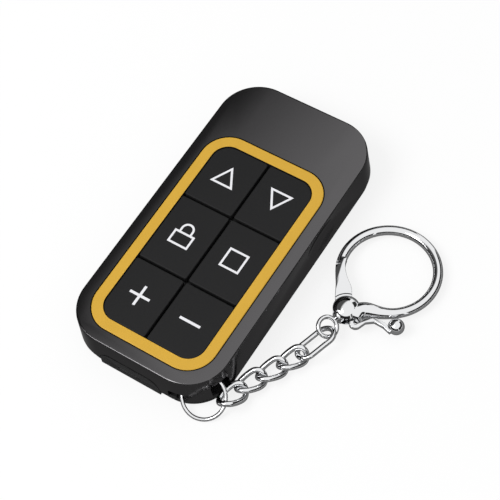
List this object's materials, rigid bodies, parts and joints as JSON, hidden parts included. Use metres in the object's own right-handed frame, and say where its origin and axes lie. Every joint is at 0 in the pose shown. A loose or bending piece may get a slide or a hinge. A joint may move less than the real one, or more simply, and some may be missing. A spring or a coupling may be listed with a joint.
{
  "type": "gate remote key fob",
  "caption": "Handheld gate remote with a raised keypad in a coloured bezel, a sliding battery door, and a corner key ring, chain and trigger clasp.",
  "frame": {"origin": "middle of the flat back of the case", "axes": "+Z out of the keyed face, +Y along the case towards its blank end, +X to the right of the keypad, where the chain hangs"},
  "size_m": [0.0664, 0.0772, 0.0101],
  "materials": {
    "frame_metal": "gloss gunmetal",
    "bezel_yellow": "semi-gloss yellow",
    "key_black": "fine matte, white printed symbols",
    "rear_black": "fine spark texture",
    "chrome": "polished plating",
    "steel": "bright steel",
    "board_green": "solder mask",
    "chip_black": "moulded package",
    "mat_black": "silicone",
    "switch_black": "moulded",
    "contact_tin": "nickel plated strip",
    "copper_wire": "tinned copper wire",
    "capacitor_tan": "ceramic"
  },
  "bodies": {
    "remote": {"front_frame": "frame_metal", "bezel_ring": "bezel_yellow", "keypad_mat": "mat_black", "circuit_board": "board_green", "tact_switches": "switch_black", "microcontroller": "chip_black", "memory_chip": "chip_black", "rf_resonator": "steel", "quartz_crystal": "steel", "chip_components": "capacitor_tan", "antenna_wire": "copper_wire", "battery_contact_negative": "contact_tin", "battery_contact_positive": "contact_tin", "coin_cell": "steel", "rear_cover": "rear_black", "case_screws": "steel"},
    "key_up": {"key_up": "key_black", "plunger_up": "switch_black"},
    "key_down": {"key_down": "key_black", "plunger_down": "switch_black"},
    "key_lock": {"key_lock": "key_black", "plunger_lock": "switch_black"},
    "key_square": {"key_square": "key_black", "plunger_square": "switch_black"},
    "key_plus": {"key_plus": "key_black", "plunger_plus": "switch_black"},
    "key_minus": {"key_minus": "key_black", "plunger_minus": "switch_black"},
    "battery_door": {"battery_door": "rear_black"},
    "lanyard_ring": {"lanyard_ring": "chrome"},
    "chain_link_1": {"chain_link_1": "chrome"},
    "chain_link_2": {"chain_link_2": "chrome"},
    "chain_link_3": {"chain_link_3": "chrome"},
    "chain_link_4": {"chain_link_4": "chrome"},
    "oval_link": {"oval_link": "chrome"},
    "swivel_eye": {"swivel_eye": "chrome"},
    "clasp": {"clasp_body": "chrome", "gate_pin": "steel", "gate_spring": "steel"},
    "clasp_gate": {"clasp_gate": "chrome"}
  },
  "joints": [
    {"name": "up_key_press", "type": "slide", "parent": "remote", "child": "key_up", "axis": [0, 0, -1], "range_m": [0, 0.00035], "stiffness_N_per_m": 1500},
    {"name": "down_key_press", "type": "slide", "parent": "remote", "child": "key_down", "axis": [0, 0, -1], "range_m": [0, 0.00035], "stiffness_N_per_m": 1500},
    {"name": "lock_key_press", "type": "slide", "parent": "remote", "child": "key_lock", "axis": [0, 0, -1], "range_m": [0, 0.00035], "stiffness_N_per_m": 1500},
    {"name": "square_key_press", "type": "slide", "parent": "remote", "child": "key_square", "axis": [0, 0, -1], "range_m": [0, 0.00035], "stiffness_N_per_m": 1500},
    {"name": "plus_key_press", "type": "slide", "parent": "remote", "child": "key_plus", "axis": [0, 0, -1], "range_m": [0, 0.00035], "stiffness_N_per_m": 1500},
    {"name": "minus_key_press", "type": "slide", "parent": "remote", "child": "key_minus", "axis": [0, 0, -1], "range_m": [0, 0.00035], "stiffness_N_per_m": 1500},
    {"name": "battery_door_slide", "type": "slide", "parent": "remote", "child": "battery_door", "axis": [0, -1, 0], "range_m": [0, 0.025]},
    {"name": "ring_swing", "type": "hinge", "parent": "remote", "child": "lanyard_ring", "pos_m": [0.01555, -0.03395, 0.00328], "axis": [-0.7158, -0.6731, -0.1859], "range_deg": [-2, 30]},
    {"name": "link_1_turn", "type": "hinge", "parent": "lanyard_ring", "child": "chain_link_1", "pos_m": [0.02088, -0.03347, 0.00231], "axis": [0.1473, -0.8638, -0.4818], "range_deg": [-3, 25]},
    {"name": "link_2_turn", "type": "hinge", "parent": "chain_link_1", "child": "chain_link_2", "pos_m": [0.02245, -0.0279, 0.00199], "axis": [-0.5857, 0.354, 0.7291], "range_deg": [-20, 20]},
    {"name": "link_3_turn", "type": "hinge", "parent": "chain_link_2", "child": "chain_link_3", "pos_m": [0.0244, -0.0232, 0.00202], "axis": [0.6221, -0.3362, -0.7071], "range_deg": [-20, 20]},
    {"name": "link_4_turn", "type": "hinge", "parent": "chain_link_3", "child": "chain_link_4", "pos_m": [0.02687, -0.01863, 0.00202], "axis": [-0.6221, 0.3362, 0.7071], "range_deg": [-20, 20]},
    {"name": "oval_link_turn", "type": "hinge", "parent": "chain_link_4", "child": "oval_link", "pos_m": [0.02934, -0.01405, 0.00202], "axis": [0.6221, -0.3362, -0.7071], "range_deg": [-10, 15]},
    {"name": "eye_turn", "type": "hinge", "parent": "oval_link", "child": "swivel_eye", "pos_m": [0.031, -0.00809, 0.00309], "axis": [-0.8326, 0.3476, -0.4312], "range_deg": [-5, 20]},
    {"name": "clasp_swivel", "type": "hinge", "parent": "swivel_eye", "child": "clasp", "pos_m": [0.03195, -0.00125, 0.00275], "axis": [0.222, 0.9733, -0.0581], "continuous": true},
    {"name": "gate_turn", "type": "hinge", "parent": "clasp", "child": "clasp_gate", "pos_m": [0.03195, -0.00125, 0.00275], "axis": [-0.0129, -0.0566, -0.9983], "range_deg": [0, 22], "stiffness_Nm_per_rad": 0.02, "springref_deg": -17.19}
  ]
}
